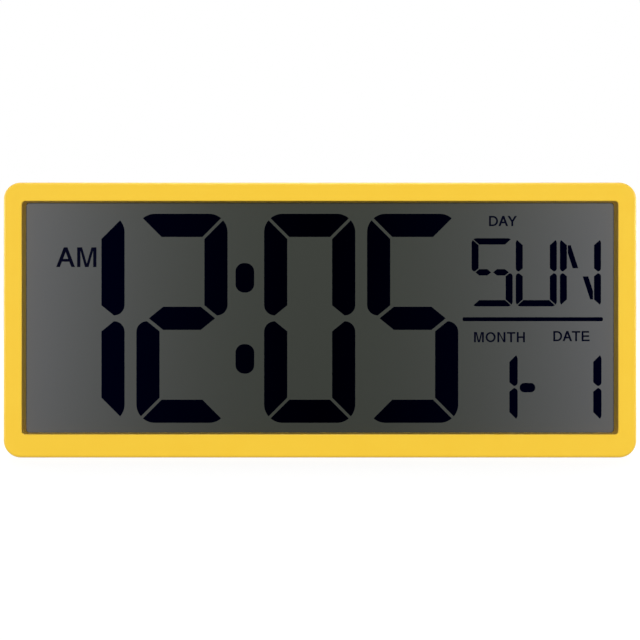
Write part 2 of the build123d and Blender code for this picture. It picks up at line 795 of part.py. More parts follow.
def stand_leg():
    """Fold-out leg: a tapered ribbed plate, a knuckle round the pin and a heel that stops its swing."""
    outer_y = -stand_sink
    body = slab(leg_outline(), outer_y - leg_depth, outer_y)
    body = fillet(body.faces().sort_by(Axis.Y)[-1].edges(), leg_edge_round)
    hollow = offset(leg_outline(), amount=-leg_rim)
    hollow &= band(-leg_width, leg_width, hinge_z - leg_length, hinge_z - knuckle_radius - leg_rim)
    for share in leg_rib_shares:
        z = hinge_z - share * leg_length
        hollow -= band(-leg_width, leg_width, z - leg_wall / 2, z + leg_wall / 2)
    body -= slab(hollow, outer_y - leg_depth - overrun, outer_y - leg_wall)
    body += axle(-leg_width / 2, leg_width / 2, hinge_y, hinge_z, knuckle_radius)
    heel = band(-leg_width / 2, leg_width / 2, hinge_z, hinge_z + heel_rise)
    body += slab(heel, hinge_y - heel_half_depth, hinge_y + heel_half_depth)
    bore = axle(-leg_width / 2 - overrun, leg_width / 2 + overrun, hinge_y, hinge_z, pin_radius + pin_fit)
    return body - bore


def stand_pin():
    """Steel pin of the stand's hinge."""
    half = recess_half_width + pin_depth - pin_seat
    return axle(-half, half, hinge_y, hinge_z, pin_radius)


red_z, black_z = tail_places()[1]
artwork = {
    "hour_segments": time_digits(hour_x_share, ("bc", "abged")),
    "colon_segments": colon_dots(),
    "minute_segments": time_digits(minute_x_share, ("abcdef", "afgcd")),
    "weekday_segments": weekday_letters(),
    "divider_segment": divider_bar(),
    "date_segments": date_digits(),
}
nodes = {name: dark_segments(outlines) for name, outlines in artwork.items()}
nodes |= {
    "front_bezel": front_bezel(),
    "lcd_gasket": lcd_gasket(),
    "lcd_front_polariser": lcd_front_polariser(artwork),
    "lcd_front_glass": slab(Rectangle(glass_width, glass_height), glass_y, crystal_y),
    "lcd_edge_seal": lcd_edge_seal(),
    "lcd_crystal_layer": slab(rear_glass_outline(seal_width), crystal_y, rear_glass_y),
    "lcd_rear_glass": slab(rear_glass_outline(0), rear_glass_y, reflector_y),
    "lcd_reflector": slab(rear_glass_outline(0), reflector_y, retainer_y),
    "lcd_retainer": lcd_retainer(),
    "zebra_strip": slab(zebra_outline(0), crystal_y, board_y),
    "main_board": main_board(),
    "chip_blob": board_disc(blob_x, blob_radius, blob_height, blob_round),
    "quartz_crystal": quartz_crystal(),
    "capacitor": board_disc(capacitor_x, capacitor_radius, capacitor_height, capacitor_round),
    "switch_bodies": switch_bodies(),
    "retainer_screws": screws(retainer_places, board_y, retainer_y - inner_reach),
    "board_screws": screws(board_places, board_back_y, retainer_y - inner_reach),
    "casing_screws": screws(casing_places, parting_y + pillar_web, parting_y - casing_reach),
    "rear_cover": rear_cover(),
    "battery_door": battery_door(),
    "upper_cell": cell(1),
    "lower_cell": cell(-1),
    "plus_contact": end_contact(red_z, spring=False),
    "minus_contact": end_contact(black_z, spring=True),
    "bridge_contact": bridge_contact(),
    "red_lead": battery_lead(red_z, lead_offsets[0]),
    "black_lead": battery_lead(black_z, lead_offsets[1]),
    "stand_leg": stand_leg(),
    "stand_pin": stand_pin(),
}
for name, x in zip(button_names, button_places):
    nodes[f"{name}_button"] = push_button(x)
    nodes[f"{name}_plunger"] = switch_plunger(x)

os.makedirs("parts", exist_ok=True)
for name, shape in nodes.items():
    export_step(shape, f"parts/{name}.step")
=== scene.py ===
"""Looks, stage and camera for a wide digital wall clock, laid out as an add-on and run as a script."""
from math import cos, radians, sin

import bmesh
import bpy
from bpy.props import FloatProperty, FloatVectorProperty, PointerProperty
from mathutils import Matrix, Vector


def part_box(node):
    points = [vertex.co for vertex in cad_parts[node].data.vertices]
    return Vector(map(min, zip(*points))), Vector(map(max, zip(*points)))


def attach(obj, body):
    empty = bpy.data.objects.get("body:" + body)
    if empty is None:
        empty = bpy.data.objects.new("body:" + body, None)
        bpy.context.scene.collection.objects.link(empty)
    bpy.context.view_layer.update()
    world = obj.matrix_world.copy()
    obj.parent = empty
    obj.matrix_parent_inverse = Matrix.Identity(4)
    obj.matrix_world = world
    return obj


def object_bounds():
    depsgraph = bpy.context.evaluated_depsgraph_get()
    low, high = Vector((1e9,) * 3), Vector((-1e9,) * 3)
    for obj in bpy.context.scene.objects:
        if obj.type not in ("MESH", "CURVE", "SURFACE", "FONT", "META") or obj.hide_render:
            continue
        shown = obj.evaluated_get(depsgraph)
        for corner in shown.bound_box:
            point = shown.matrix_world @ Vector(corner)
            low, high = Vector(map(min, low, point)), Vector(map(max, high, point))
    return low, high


bl_info = {
    "name": "Digital wall clock",
    "version": (1, 0, 0),
    "blender": (4, 5, 0),
    "location": "View3D > Sidebar > Clock",
    "description": "Finishes, display words, cover marks and studio stage for a wide digital wall clock",
    "category": "Object",
}

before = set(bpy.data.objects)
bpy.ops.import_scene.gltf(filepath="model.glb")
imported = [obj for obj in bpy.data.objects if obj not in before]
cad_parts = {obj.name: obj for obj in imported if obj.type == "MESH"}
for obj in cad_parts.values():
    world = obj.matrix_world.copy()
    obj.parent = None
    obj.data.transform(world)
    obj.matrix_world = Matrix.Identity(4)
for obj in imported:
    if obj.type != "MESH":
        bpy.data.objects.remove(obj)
CAD_BOX = [list(corner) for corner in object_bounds()]
MM = 0.001


def linear(hex_colour):
    """An sRGB hex colour as linear RGBA."""
    values = [int(hex_colour[i:i + 2], 16) / 255 for i in (1, 3, 5)]
    return [v / 12.92 if v <= 0.04045 else ((v + 0.055) / 1.055) ** 2.4 for v in values] + [1.0]


def colour_property(name, description, hex_colour):
    """A colour that a user can change, given as sRGB hex."""
    return FloatVectorProperty(name=name, description=description, default=linear(hex_colour)[:3],
                               subtype="COLOR", min=0, max=1)


def length_property(name, description, millimetres):
    """A length that a user can change."""
    return FloatProperty(name=name, description=description, default=millimetres * MM, unit="LENGTH",
                         subtype="DISTANCE", precision=5)


def power_property(name, description, watts):
    """A lamp's power that a user can change."""
    return FloatProperty(name=name, description=description, default=watts, min=0, subtype="POWER")


def share_property(name, description, share):
    """A share from 0 to 1 that a user can change."""
    return FloatProperty(name=name, description=description, default=share, min=0, max=1,
                         subtype="FACTOR")


class ClockFinish(bpy.types.PropertyGroup):
    """Colours of the clock's pieces."""
    frame_colour: colour_property("Frame", "Moulded front frame", "#F7CC3B")
    frame_mottle_colour: colour_property("Frame mottle", "Faint clouds in the front frame", "#F5C734")
    cover_colour: colour_property("Rear cover", "Moulded rear cover, battery door and leg", "#232325")
    retainer_colour: colour_property("Retainer", "Frame that holds the display", "#2B2B2D")
    button_colour: colour_property("Buttons", "Push buttons", "#8F9294")
    mark_colour: colour_property("Cover marks", "Labels of the buttons, arrow on the door", "#D9D9D6")
    film_middle_colour: colour_property("Film, middle", "Display ground in the middle", "#3C3F3A")
    # Painted light: the display's ground is painted this lighter grey at its two ends.
    film_end_painted_light_colour: colour_property("Film, ends", "Display ground at its two ends", "#646567")
    segment_colour: colour_property("Segments", "Dark segments in the middle", "#000004")
    segment_end_colour: colour_property("Segments, ends", "Dark segments at the ends", "#000112")
    jacket_colour: colour_property("Cell jacket", "Jacket of the cells", "#3C5A78")
    band_colour: colour_property("Cell band", "Band at a cell's plus end", "#B9C2C8")
    board_colour: colour_property("Board", "Solder mask of the circuit board", "#1E5A34")


class ClockMarks(bpy.types.PropertyGroup):
    """Sizes of the words on the display and the marks on the back."""
    half_day_height: length_property("Half-day height", "Height of the half-day word", 11.6)
    label_height: length_property("Label height", "Height of the calendar's labels", 6.0)
    ink_thickness: length_property("Ink", "Thickness of a printed word or mark", 0.04)
    ink_gap: length_property("Ink gap", "Gap between ink and the face below it", 0.01)
    button_label_size: length_property("Button labels", "Type size of the labels", 4.2)
    button_label_drop: length_property("Label drop", "Middle of a label below its button's", 6.4)
    button_label_weight: length_property("Label weight", "Ink added round the type", 0.08)
    arrow_width: length_property("Arrow width", "Width of the arrow on the battery door", 6.0)
    arrow_drop: length_property("Arrow drop", "Arrow below the battery door's top edge", 15.0)


class ClockStage(bpy.types.PropertyGroup):
    """Camera, lamps and floor."""
    camera_distance: length_property("Camera distance", "Camera to the clock's front face", 490)
    camera_lens: FloatProperty(name="Lens", description="Focal length on a 36 mm sensor", default=47.54,
                               unit="CAMERA")
    front_power: power_property("Front lamp", "Lamp far behind the camera", 885)
    back_power: power_property("Back lamps", "Each lamp behind the clock", 14)
    side_power: power_property("Side lamps", "Each lamp beside the clock", 5)
    top_power: power_property("Top lamp", "Lamp above and behind the clock", 9)
    edge_power: power_property("Edge lamps", "Each lamp that shows in gloss alone", 10)
    surround: share_property("Surround", "Strength of the soft light from all sides", 0.035)
    floor_glow: share_property("Floor glow", "Share of plain white in the floor's look", 0.8)
    floor_bounce: share_property("Floor bounce", "Share of its light that the floor gives back", 0.1)
    floor_near: length_property("Floor, near", "Up to here the floor shows its shadows", 350)
    floor_far: length_property("Floor, far", "From here the floor is plain white", 900)
    floor_colour: colour_property("Floor", "Pale floor", "#E8E8E6")


FACTOR, FIRST, SECOND, MIXED = 0, 6, 7, 2  # sockets of a node that mixes two colours


def add(tree, kind, inputs=None, **settings):
    """Adds a node with its settings; each of its inputs is a value, or a socket to link."""
    node = tree.nodes.new(kind)
    for name, value in settings.items():
        setattr(node, name, value)
    for name, value in (inputs or {}).items():
        if isinstance(value, bpy.types.NodeSocket):
            tree.links.new(value, node.inputs[name])
        else:
            node.inputs[name].default_value = value
    return node


def start_material(name, **values):
    """A material with plain values on its shader; returns it, its tree, shader and coordinates."""
    material = bpy.data.materials.new(name)
    material.use_nodes = True
    tree = material.node_tree
    shader = tree.nodes["Principled BSDF"]
    for socket, value in values.items():
        shader.inputs[socket.replace("_", " ")].default_value = value
    return material, tree, shader, add(tree, "ShaderNodeTexCoord").outputs["Object"]


def rgba(colour, share=1.0):
    """A colour as RGBA, or a darker share of it."""
    return [*(share * channel for channel in colour[:3]), 1.0]


def per_metre(millimetres):
    """Scale of a pattern whose features are this large."""
    return 1 / (millimetres * MM)


CLOUD_DETAIL = 3.0  # octaves of the clouds in a colour
GRAIN_DETAIL = 2.0
NOISE_ROUGHNESS = 0.55  # share by which each octave fades
GLOSS_SPREAD = 0.15  # by which the grain varies the roughness, each way
GRAIN_STRENGTH = 0.3


def grained(name, colour, second, roughness, grain_mm, depth_mm, cloud_mm, **values):
    """A surface in soft clouds of two close colours, with a fine grain in its gloss and relief."""
    material, tree, shader, place = start_material(name, **values)
    clouds = add(tree, "ShaderNodeTexNoise", {"Vector": place, "Scale": per_metre(cloud_mm),
                                              "Detail": CLOUD_DETAIL,
                                              "Roughness": NOISE_ROUGHNESS}).outputs["Fac"]
    tint = add(tree, "ShaderNodeMix", {FACTOR: clouds, FIRST: colour, SECOND: second}, data_type="RGBA")
    grain = add(tree, "ShaderNodeTexNoise", {"Vector": place, "Scale": per_metre(grain_mm),
                                             "Detail": GRAIN_DETAIL,
                                             "Roughness": NOISE_ROUGHNESS}).outputs["Fac"]
    gloss = add(tree, "ShaderNodeMapRange", {"Value": grain, "To Min": (1 - GLOSS_SPREAD) * roughness,
                                             "To Max": (1 + GLOSS_SPREAD) * roughness})
    relief = add(tree, "ShaderNodeBump", {"Height": grain, "Strength": GRAIN_STRENGTH,
                                          "Distance": depth_mm * MM})
    tree.links.new(tint.outputs[MIXED], shader.inputs["Base Color"])
    tree.links.new(gloss.outputs["Result"], shader.inputs["Roughness"])
    tree.links.new(relief.outputs["Normal"], shader.inputs["Normal"])
    return material


def moulded_abs(name, colour, mottle, roughness, grain_mm):
    """Injection-moulded ABS: even colour with faint clouds, and a spark-eroded grain that breaks up
    its gloss. The grain is drawn coarser than it is, so that it shows."""
    return grained(name, colour, mottle, roughness, grain_mm, depth_mm=0.02, cloud_mm=14, IOR=1.53)


def plated(name, hex_colour, roughness, grain_mm):
    """Plated or drawn metal: bright, with fine marks from its making that soften what it mirrors."""
    colour = linear(hex_colour)
    return grained(name, colour, rgba(colour, 0.9), roughness, grain_mm, depth_mm=0.004,
                   cloud_mm=5 * grain_mm, Metallic=1.0)


def coated(name, colour, roughness, grain_mm, depth_mm=0.01, **values):
    """Cast, drawn, printed or coated surfaces: one colour, a little uneven, with a fine grain."""
    return grained(name, colour, rgba(colour, 0.82), roughness, grain_mm, depth_mm,
                   cloud_mm=5 * grain_mm, **values)


def share_of_width(tree, place, half_width):
    """0 in the middle of the display and 1 at its left and right ends; also the height's socket."""
    axes = add(tree, "ShaderNodeSeparateXYZ", {"Vector": place}).outputs
    side = add(tree, "ShaderNodeMath", {0: axes["X"]}, operation="ABSOLUTE").outputs[0]
    share = add(tree, "ShaderNodeMath", {0: side, 1: half_width}, operation="DIVIDE").outputs[0]
    return share, axes["Z"]


FILM_PAINTED_LIGHT_RISE = 2.3  # power by which painted light lightens the display's ground towards its ends
FILM_PAINTED_SHADE_FOOT = 0.86  # painted shade: share of the ground's lightness at the foot, of that at the top
FILM_GRAIN_MM = 0.6
FILM_GRAIN_DETAIL = 3.0
FILM_GRAIN_STRENGTH = 0.1
FILM_GRAIN_DEPTH = 0.004 * MM


def polariser_film(middle, end, low, high):
    """Satin polariser film over a twisted nematic display: a grey ground, with painted light that
    lightens it towards the left and right ends, and painted shade that darkens it a little towards the
    foot."""
    material, tree, shader, place = start_material("polariser film, satin", Roughness=0.42, IOR=1.49,
                                                   Specular_IOR_Level=0.08)
    share, z = share_of_width(tree, place, high.x)
    # Painted light: the ground is painted lighter towards the left and right ends.
    rise = add(tree, "ShaderNodeMath", {0: share, 1: FILM_PAINTED_LIGHT_RISE}, operation="POWER").outputs[0]
    ground = add(tree, "ShaderNodeMix", {FACTOR: rise, FIRST: middle, SECOND: end}, data_type="RGBA")
    # Painted shade: the ground is painted darker towards the foot, lightest at the top.
    height = add(tree, "ShaderNodeMapRange", {"Value": z, "From Min": low.z, "From Max": high.z,
                                              "To Min": FILM_PAINTED_SHADE_FOOT})
    shade = add(tree, "ShaderNodeVectorMath", {0: ground.outputs[MIXED],
                                               "Scale": height.outputs["Result"]}, operation="SCALE")
    grain = add(tree, "ShaderNodeTexNoise", {"Vector": place, "Scale": per_metre(FILM_GRAIN_MM),
                                             "Detail": FILM_GRAIN_DETAIL})
    relief = add(tree, "ShaderNodeBump", {"Height": grain.outputs["Fac"],
                                          "Strength": FILM_GRAIN_STRENGTH,
                                          "Distance": FILM_GRAIN_DEPTH})
    tree.links.new(shade.outputs["Vector"], shader.inputs["Base Color"])
    tree.links.new(relief.outputs["Normal"], shader.inputs["Normal"])
    return material


def dark_crystal(middle, end, half_width):
    """Switched liquid crystal: almost black, with a trace of navy towards the display's ends."""
    material, tree, shader, place = start_material("liquid crystal, dark", Roughness=0.45, IOR=1.49,
                                                   Specular_IOR_Level=0.0)
    share, _ = share_of_width(tree, place, half_width)
    tint = add(tree, "ShaderNodeMix", {FACTOR: share, FIRST: middle, SECOND: end}, data_type="RGBA")
    tree.links.new(tint.outputs[MIXED], shader.inputs["Base Color"])
    return material


SMEAR_MM = 30  # soft smears in the glass


def float_glass():
    """Clear float glass: colourless through its face and faintly green, with soft smears."""
    material, tree, shader, place = start_material("float glass", Roughness=0.02, IOR=1.52,
                                                   Transmission_Weight=1.0)
    smear = add(tree, "ShaderNodeTexNoise", {"Vector": place, "Scale": per_metre(SMEAR_MM)})
    tint = add(tree, "ShaderNodeMix", {FACTOR: smear.outputs["Fac"], FIRST: linear("#E6EDEA"),
                                       SECOND: linear("#F2F6F4")}, data_type="RGBA")
    tree.links.new(tint.outputs[MIXED], shader.inputs["Base Color"])
    return material


BAND_LENGTH = 9 * MM  # of a cell's pale band, from its plus tip
PLUS_END_LENGTH = 2.2 * MM  # bare metal at a cell's plus end
MINUS_END_LENGTH = 0.9 * MM
JACKET_DENT_MM = 1.5
JACKET_DENT_STRENGTH = 0.2
JACKET_DENT_DEPTH = 0.005 * MM


def cell_jacket(name, colour, band, plus_x, length):
    """Printed metal jacket of a cell: satin colour, a pale band at its plus end, bare plated ends."""
    material, tree, shader, place = start_material(name, Metallic=0.6, Roughness=0.35)
    x = add(tree, "ShaderNodeSeparateXYZ", {"Vector": place}).outputs["X"]
    span = add(tree, "ShaderNodeMath", {0: x, 1: plus_x}, operation="SUBTRACT").outputs[0]
    depth = add(tree, "ShaderNodeMath", {0: span}, operation="ABSOLUTE").outputs[0]
    in_band = add(tree, "ShaderNodeMath", {0: depth, 1: BAND_LENGTH}, operation="LESS_THAN")
    wrap = add(tree, "ShaderNodeMix", {FACTOR: in_band.outputs[0], FIRST: colour, SECOND: band},
               data_type="RGBA")
    near = add(tree, "ShaderNodeMath", {0: depth, 1: PLUS_END_LENGTH}, operation="LESS_THAN")
    far = add(tree, "ShaderNodeMath", {0: depth, 1: length - MINUS_END_LENGTH}, operation="GREATER_THAN")
    bare = add(tree, "ShaderNodeMath", {0: near.outputs[0], 1: far.outputs[0]}, operation="MAXIMUM")
    whole = add(tree, "ShaderNodeMix", {FACTOR: bare.outputs[0], FIRST: wrap.outputs[MIXED],
                                        SECOND: linear("#C9CACB")}, data_type="RGBA")
    dents = add(tree, "ShaderNodeTexNoise", {"Vector": place, "Scale": per_metre(JACKET_DENT_MM)})
    relief = add(tree, "ShaderNodeBump", {"Height": dents.outputs["Fac"],
                                          "Strength": JACKET_DENT_STRENGTH,
                                          "Distance": JACKET_DENT_DEPTH})
    tree.links.new(whole.outputs[MIXED], shader.inputs["Base Color"])
    tree.links.new(relief.outputs["Normal"], shader.inputs["Normal"])
    return material


def dress(material, *names):
    """Gives CAD pieces their material."""
    for name in names:
        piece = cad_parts[name]
        piece.data.materials.clear()
        piece.data.materials.append(material)


def nodes_ending(*ends):
    """CAD pieces whose names end in one of these words."""
    return [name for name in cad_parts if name.endswith(ends)]


class CLOCK_OT_dress_case(bpy.types.Operator):
    """Give the moulded case pieces their plastics"""
    bl_idname = "clock.dress_case"
    bl_label = "Case"

    def execute(self, context):
        finish = context.scene.clock_finish
        yellow, mottle = rgba(finish.frame_colour), rgba(finish.frame_mottle_colour)
        dress(moulded_abs("ABS, satin yellow", yellow, mottle, roughness=0.46, grain_mm=0.9),
              "front_bezel")
        dress(moulded_abs("ABS, textured black", rgba(finish.cover_colour),
                          rgba(finish.cover_colour, 0.8), roughness=0.52, grain_mm=0.7),
              "rear_cover", "battery_door", "stand_leg")
        dress(moulded_abs("ABS, plain black", rgba(finish.retainer_colour),
                          rgba(finish.retainer_colour, 0.85), roughness=0.4, grain_mm=0.5),
              "lcd_retainer")
        return {"FINISHED"}


class CLOCK_OT_dress_display(bpy.types.Operator):
    """Give the display's films, glass and dark segments their looks"""
    bl_idname = "clock.dress_display"
    bl_label = "Display"

    def execute(self, context):
        finish = context.scene.clock_finish
        low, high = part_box("lcd_front_polariser")
        # The film's ground carries painted light at its ends and painted shade at its foot.
        dress(polariser_film(rgba(finish.film_middle_colour), rgba(finish.film_end_painted_light_colour), low, high),
              "lcd_front_polariser")
        dress(dark_crystal(rgba(finish.segment_colour), rgba(finish.segment_end_colour), high.x),
              *nodes_ending("_segment", "_segments"))
        dress(float_glass(), "lcd_front_glass", "lcd_rear_glass")
        # Crystal at rest: a clear grey-green layer, wet-looking and almost even.
        dress(coated("liquid crystal, clear", linear("#8A908C"), 0.2, 4), "lcd_crystal_layer")
        # Cured epoxy: an opaque cream line round the glass.
        dress(coated("cured edge seal", linear("#B9B5A6"), 0.5, 1), "lcd_edge_seal")
        # Foil brushed to scatter light: a soft silver without clear mirror images.
        dress(coated("brushed reflector foil", linear("#A9ADAC"), 0.4, 0.8, Metallic=0.8),
              "lcd_reflector")
        # Foam: dull black with small open bubbles on its cut faces.
        dress(coated("closed-cell foam", linear("#1A1A1A"), 0.9, 0.6, depth_mm=0.1), "lcd_gasket")
        # Silicone with carbon layers: dark grey, with fine stripes too close to tell apart.
        dress(coated("layered silicone strip", linear("#3A3A3C"), 0.7, 0.5), "zebra_strip")
        return {"FINISHED"}


OVAL_STEPS = 14  # in half an oval
SEAM_GAP = 0.001 * MM  # points closer than this are one
ARROW_CORNERS = 3
ARROW_ROUND_SHARE = 0.1  # rounding of the arrow's corners, of its width
ARROW_ROUND_STEPS = 3
BAR_TO_STEM = 0.88  # level stroke of a capital, of its upright one
SLOPED_PAIRS = ("AT", "AY", "DA")
SLOPED_SHARE = 0.06  # by which a sloped pair closes up, of the height


def half_oval(middle_x, reach, rise):
    """Right half of an oval at a capital's mid height, from its top to its foot."""
    turns = [radians(180) * i / OVAL_STEPS for i in range(OVAL_STEPS + 1)]
    return [(middle_x + reach * sin(turn), 0.5 + rise * cos(turn)) for turn in turns]


def whole_oval(width, inset_x, inset_z):
    """An oval of a width, drawn in by two insets."""
    right = half_oval(width / 2, width / 2 - inset_x, 0.5 - inset_z)
    return right + [(width - x, 1 - z) for x, z in right[1:-1]]


# Each capital is drawn one unit high as closed loops, from its width, stem and bar.


def letter_a(width, stem, bar):
    """A: two legs with a cross bar, and the hole above it."""
    apex, leg, low = 0.55 * stem, 1.1 * stem, 0.27
    lean, high = width / 2 - apex, low + bar
    outside = [(0, 0), (width / 2 - apex, 1), (width / 2 + apex, 1), (width, 0), (width - leg, 0),
               (width - leg - lean * low, low), (leg + lean * low, low), (leg, 0)]
    peak = (width / 2 - leg) / lean
    return outside, [(leg + lean * high, high), (width / 2, peak), (width - leg - lean * high, high)]


def letter_m(width, stem, bar):
    """M, whose point reaches the foot."""
    middle, drop, tip = width / 2, 0.17, 0.55 * stem
    left = [(0, 0), (0, 1), (1.5 * stem, 1), (middle, drop)]
    right = [(width - 1.5 * stem, 1), (width, 1), (width, 0), (width - stem, 0)]
    notch = [(width - stem, 1 - drop), (middle + tip, 0), (middle - tip, 0)]
    return (left + right + notch + [(stem, 1 - drop), (stem, 0)],)


def letter_n(width, stem, bar):
    """N, the same when turned upside down."""
    half = [(0, 0), (0, 1), (1.05 * stem, 1), (width - stem, 0.21), (width - stem, 1)]
    return (half + [(width - x, 1 - z) for x, z in half],)


def letter_y(width, stem, bar):
    """Y: two arms on a stem."""
    low, arm, fork = (width - stem) / 2, 1.2 * stem, 0.42
    left = [(low, 0), (low, fork), (0, 1), (arm, 1), (width / 2, fork + 0.8 * arm)]
    return (left + [(width - x, z) for x, z in reversed(left[:-1])],)


def letter_d(width, stem, bar):
    """D: outside and hole."""
    bend = 0.43 * width
    outside = [(0, 0), (0, 1)] + half_oval(bend, width - bend, 0.5)
    return outside, [(stem, bar), (stem, 1 - bar)] + half_oval(bend, width - bend - stem, 0.5 - bar)


def letter_e(width, stem, bar):
    """E: a stem with three arms, the upper two a little short."""
    arm, low, high = 0.93 * width, 0.5 - bar / 2, 0.5 + bar / 2
    lower = [(0, 0), (width, 0), (width, bar), (stem, bar), (stem, low), (arm, low)]
    return (lower + [(arm, high), (stem, high), (stem, 1 - bar), (arm, 1 - bar), (arm, 1), (0, 1)],)


def letter_h(width, stem, bar):
    """H: two stems and a bar."""
    inner, low, high = width - stem, 0.5 - bar / 2, 0.5 + bar / 2
    right = [(inner, high), (inner, 1), (width, 1), (width, 0), (inner, 0), (inner, low)]
    return ([(0, 0), (0, 1), (stem, 1), (stem, high)] + right + [(stem, low), (stem, 0)],)


def letter_t(width, stem, bar):
    """T: a bar on a stem."""
    low, high, under = (width - stem) / 2, (width + stem) / 2, 1 - bar
    left = [(low, 0), (low, under), (0, under), (0, 1)]
    return (left + [(width, 1), (width, under), (high, under), (high, 0)],)


def letter_o(width, stem, bar):
    """O: outside and hole."""
    return whole_oval(width, 0, 0), whole_oval(width, stem, bar)


# Each capital with its width and the space beside it, as shares of its height.
CAPITALS = {
    "A": (letter_a, 0.93, 0.0), "D": (letter_d, 0.87, 0.09), "E": (letter_e, 0.78, 0.09),
    "H": (letter_h, 0.79, 0.11), "M": (letter_m, 0.96, 0.105), "N": (letter_n, 0.79, 0.105),
    "O": (letter_o, 0.98, 0.06), "T": (letter_t, 0.83, 0.03), "Y": (letter_y, 0.92, 0.0),
}


def word_loops(text, stem):
    """Closed outlines of a word in capitals, one unit high."""
    loops, x, last = [], 0, ""
    for letter in text:
        draw, width, space = CAPITALS[letter]
        x += space - (SLOPED_SHARE if last + letter in SLOPED_PAIRS else 0)
        loops += [[(x + px, pz) for px, pz in loop] for loop in draw(width, stem, BAR_TO_STEM * stem)]
        x, last = x + width + space, letter
    return loops


def flat_mesh(name, outline, thickness):
    """A filled flat curve or text as a mesh, which takes the curve's place."""
    outline.fill_mode = "BOTH"
    outline.extrude = thickness / 2
    drawn = bpy.data.objects.new(name, outline)
    bpy.context.scene.collection.objects.link(drawn)
    graph = bpy.context.evaluated_depsgraph_get()
    mesh = bpy.data.meshes.new_from_object(drawn.evaluated_get(graph))
    bpy.data.objects.remove(drawn)
    bpy.data.curves.remove(outline)
    mesh.name = name
    return mesh


def close_seams(mesh):
    """Joins the doubled edges between a flat shape's faces and its sides."""
    shape = bmesh.new()
    shape.from_mesh(mesh)
    bmesh.ops.remove_doubles(shape, verts=shape.verts, dist=SEAM_GAP)
    bmesh.ops.recalc_face_normals(shape, faces=shape.faces)
    shape.to_mesh(mesh)
    shape.free()


def word_mesh(name, text, width, height, stem, thickness):
    """A word as a mesh about the origin, facing the front, fitted to a size."""
    outline = bpy.data.curves.new(name, "CURVE")
    outline.dimensions = "2D"
    for loop in word_loops(text, stem):
        spline = outline.splines.new("POLY")
        spline.points.add(len(loop) - 1)
        spline.use_cyclic_u = True
        for point, (x, z) in zip(spline.points, loop):
            point.co = (x, z, 0, 1)
    mesh = flat_mesh(name, outline, thickness)
    corners = [Vector([pick(v.co[i] for v in mesh.vertices) for i in range(3)]) for pick in (min, max)]
    size, middle = corners[1] - corners[0], (corners[0] + corners[1]) / 2
    mesh.transform(Matrix.Translation(-middle))
    mesh.transform(Matrix.Diagonal((width / size.x, height / size.y, 1, 1)))
    mesh.transform(Matrix.Rotation(radians(90), 4, "X"))
    close_seams(mesh)
    return mesh


def label_mesh(name, text, size, weight, thickness):
    """Plain type as a mesh about the origin, to be read from behind the clock."""
    outline = bpy.data.curves.new(name, "FONT")
    outline.body = text
    outline.size = size
    outline.offset = weight
    outline.align_x = "CENTER"
    outline.align_y = "CENTER"
    mesh = flat_mesh(name, outline, thickness)
    mesh.transform(Matrix.Rotation(radians(180), 4, "Z") @ Matrix.Rotation(radians(90), 4, "X"))
    close_seams(mesh)
    return mesh


def arrow_mesh(name, width, thickness):
    """A three-cornered arrow on the origin that points up, to be seen from behind the clock."""
    shape = bmesh.new()
    bmesh.ops.create_circle(shape, cap_ends=True, radius=width / 2, segments=ARROW_CORNERS)
    raised = bmesh.ops.extrude_face_region(shape, geom=shape.faces[:])["geom"]
    bmesh.ops.translate(shape, verts=[part for part in raised if isinstance(part, bmesh.types.BMVert)],
                        vec=(0, 0, thickness))
    upright = [e for e in shape.edges if abs(e.verts[0].co.z - e.verts[1].co.z) > thickness / 2]
    bmesh.ops.bevel(shape, geom=upright, affect="EDGES", offset=ARROW_ROUND_SHARE * width,
                    segments=ARROW_ROUND_STEPS, profile=0.5, material=-1)
    bmesh.ops.recalc_face_normals(shape, faces=shape.faces)
    mesh = bpy.data.meshes.new(name)
    shape.to_mesh(mesh)
    shape.free()
    mesh.transform(Matrix.Rotation(radians(180), 4, "Z") @ Matrix.Rotation(radians(90), 4, "X"))
    return mesh


def add_piece(name, mesh, place, material, body):
    """Puts a finished mesh in its place as a piece that rides on a body."""
    mesh.transform(Matrix.Translation(place))
    mesh.materials.append(material)
    piece = bpy.data.objects.new(name, mesh)
    bpy.context.scene.collection.objects.link(piece)
    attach(piece, body)


# Each word's piece and text, its middle's x and z and its width in millimetres, the setting with its
# height, and its stem as a share of that height.
DISPLAY_WORDS = (
    ("half_day_word", "AM", -143.5, 37.0, 23.7, "half_day_height", 0.165),
    ("weekday_word", "DAY", 107.8, 58.3, 16.5, "label_height", 0.185),
    ("month_word", "MONTH", 105.7, -10.1, 30.0, "label_height", 0.185),
    ("date_word", "DATE", 148.1, -9.5, 21.4, "label_height", 0.185),
)


class CLOCK_OT_add_words(bpy.types.Operator):
    """Add the small generic words of the display"""
    bl_idname = "clock.add_words"
    bl_label = "Display words"

    def execute(self, context):
        marks = context.scene.clock_marks
        # Screened ink: flat navy black without gloss.
        ink = coated("display ink, navy", rgba(context.scene.clock_finish.segment_end_colour), 0.5, 1.0,
                     Specular_IOR_Level=0.03)
        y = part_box("lcd_front_polariser")[0].y - marks.ink_gap - marks.ink_thickness / 2
        for name, text, x_mm, z_mm, width_mm, height, stem in DISPLAY_WORDS:
            mesh = word_mesh(name, text, width_mm * MM, getattr(marks, height), stem,
                             marks.ink_thickness)
            add_piece(name, mesh, (x_mm * MM, y, z_mm * MM), ink, "case")
        return {"FINISHED"}


POCKET_FLOOR_Y = -3.0 * MM  # floor of the buttons' pocket in the rear cover
# Each button's label, with its share of the type size.
BUTTON_LABELS = {"mode_button": ("MODE", 1.0), "plus_button": ("+", 1.5),
                 "minus_button": ("\u2013", 1.5), "format_button": ("12/24", 1.0)}


